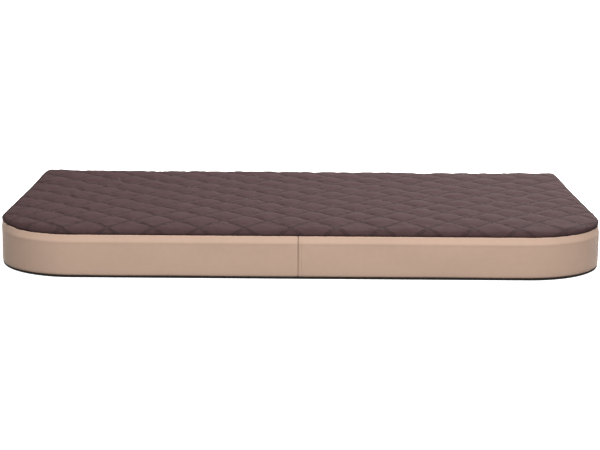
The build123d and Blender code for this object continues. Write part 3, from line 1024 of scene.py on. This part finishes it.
COILS = make_coil_tree()
COIL_PITCH = 1.5 * MM
for name, node, side in (("coil_upper", "zip_coil_upper", 1), ("coil_lower", "zip_coil_lower", -1)):
    low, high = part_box(node)
    length = high.x - low.x - 2 * MM
    centre = (low.x + 1 * MM, (low.y + high.y) / 2, (low.z + high.z) / 2 - side * 0.2 * MM)
    host = new_object("coil_host", [(0, 0, 0)], [])
    coil = grow(name, host, COILS, Turns=float(round(length / COIL_PITCH)), Length=length,
                Wire=0.3 * MM, Tall=high.z - low.z - 0.2 * MM, Deep=1.5 * MM, Centre=centre,
                Nylon=COIL_NYLON)
    wear(coil, COIL_NYLON, "zip_coil", node)

# %% Slider, pull and stops
for node in ("zip_slider", "pull_tab", "zip_top_stops", "zip_bottom_stop"):
    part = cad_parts[node]
    part.data.materials.clear()
    part.data.materials.append(ZIP_METAL)
    soften = part.modifiers.new("soft_edges", "BEVEL")
    soften.width, soften.segments = 0.2 * MM, 2
    soften.limit_method, soften.angle_limit = "ANGLE", math.radians(40)
    print(node, len(part.data.polygons), "faces")

# %% [markdown]
# ## Grip dots
# The base cloth carries rows of small rubber dots so that the bed stays put on a smooth
# floor. They repeat by the thousand, so a tree sets one low dome on each point of a
# staggered grid.


# %% Node tree that sets dots
def make_dot_tree():
    """A low dome, point down, on every point of a mesh."""
    tree, start = start_tree("set_dots", "Points", {"Dot": 3.0 * MM, "Rise": 1.0 * MM},
                             "Dots", ("Rubber", "NodeSocketMaterial"))
    place = set_beads(tree, start, start.outputs["Points"], 7, ("Dot", "Dot", "Rise"))
    return end_tree(tree, start, place.outputs[0], "Rubber")


DOT_GAP, DOT_MARGIN = 13 * MM, 14 * MM
rows = np.arange(-int(DEPTH / DOT_GAP), int(DEPTH / DOT_GAP) + 1)
dots = np.array([((c + 0.5 * (r % 2)) * DOT_GAP, r * DOT_GAP * 0.866) for r in rows
                 for c in range(-int(LENGTH / DOT_GAP), int(LENGTH / DOT_GAP) + 1)])
dots = dots[depth_inside(*dots.T)[0] > DOT_MARGIN]
dot_host = new_object("dot_points", np.column_stack([dots, np.full(len(dots), 0.5 * MM)]), [])
grip = grow("grip_dots", dot_host, make_dot_tree(), Dot=3.2 * MM, Rise=1.0 * MM, Rubber=GRIP_RUBBER)
wear(grip, GRIP_RUBBER, "base_cloth")

# %% [markdown]
# ## Camera, light and floor
# The camera stands low in front and looks a little down on the bed. One broad soft lamp
# hangs in front and one behind, and the sky is brighter above than below. The floor is
# glowing white paper, clear from below, that diffuse light passes over, so it doesn't
# light the bed.

# %% Camera
CAMERA_AT = Vector((-0.0038, -2.5085, 0.5533))
PITCH, YAW, ROLL = 0.2042, 0.0011, 0.0074
lens = bpy.data.cameras.new("camera")
lens.lens, lens.sensor_width = 86.5, 36
camera = link_up("camera", lens)
camera.matrix_world = (Matrix.Translation(CAMERA_AT) @ Matrix.Rotation(-YAW, 4, "Z")
                       @ Matrix.Rotation(math.pi / 2 - PITCH, 4, "X") @ Matrix.Rotation(ROLL, 4, "Z"))
bpy.context.scene.camera = camera
print("camera at", [round(v, 3) for v in CAMERA_AT])

# %% Light
def softbox(name, at, aim, size, power):
    """A soft rectangular lamp turned towards a point."""
    data = bpy.data.lights.new(name, "AREA")
    data.shape, data.size, data.size_y, data.energy = "RECTANGLE", *size, power
    lamp = link_up(name, data)
    lamp.location = at
    lamp.visible_camera = False
    lamp.rotation_euler = (Vector(aim) - Vector(at)).to_track_quat("-Z", "Y").to_euler()


softbox("key", at=(0.2, -1.6, 2.15), aim=(0, -0.2, 0), size=(1.1, 0.6), power=80)
softbox("back", at=(1.0, 1.9, 1.45), aim=(0, 0.1, 0), size=(0.7, 0.4), power=112)
world = bpy.data.worlds.new("studio")
bpy.context.scene.world = world
world.use_nodes = True
sky = world.node_tree
where = add(sky, "ShaderNodeTexCoord")
split = add(sky, "ShaderNodeSeparateXYZ", Vector=where.outputs["Generated"])
shade = add(sky, "ShaderNodeValToRGB", Fac=math_node(sky, "MULTIPLY_ADD", split.outputs[2], 0.5, 0.5))
for stop, grey in zip(shade.color_ramp.elements, (0.17, 0.56)):
    stop.color = (grey, grey, grey, 1)
sky.links.new(shade.outputs[0], sky.nodes["Background"].inputs[0])
bpy.context.scene.view_settings.view_transform = "Standard"
print("lamps", len(bpy.data.lights))

# %% Floor
FAR = 60
floor = new_object("floor", [(-FAR, -FAR, 0), (FAR, -FAR, 0), (FAR, FAR, 0), (-FAR, FAR, 0)],
                   [(0, 1, 2, 3)], smooth=False)
floor_mat, floor_tree, floor_shader = start_material("floor_paper", 0.9)
fill(floor_tree, floor_shader, Base_Color=(0.9, 0.9, 0.9, 1), Emission_Color=(1, 1, 1, 1),
     Emission_Strength=0.72)
side, clear, either = (add(floor_tree, "ShaderNode" + kind)
                       for kind in ("NewGeometry", "BsdfTransparent", "MixShader"))
for number, made in enumerate((side.outputs["Backfacing"], floor_shader.outputs[0], clear.outputs[0])):
    plug(floor_tree, either.inputs[number], made)
fill(floor_tree, floor_tree.nodes["Material Output"], Surface=either.outputs[0])
floor.data.materials.append(floor_mat)
floor.visible_diffuse = False
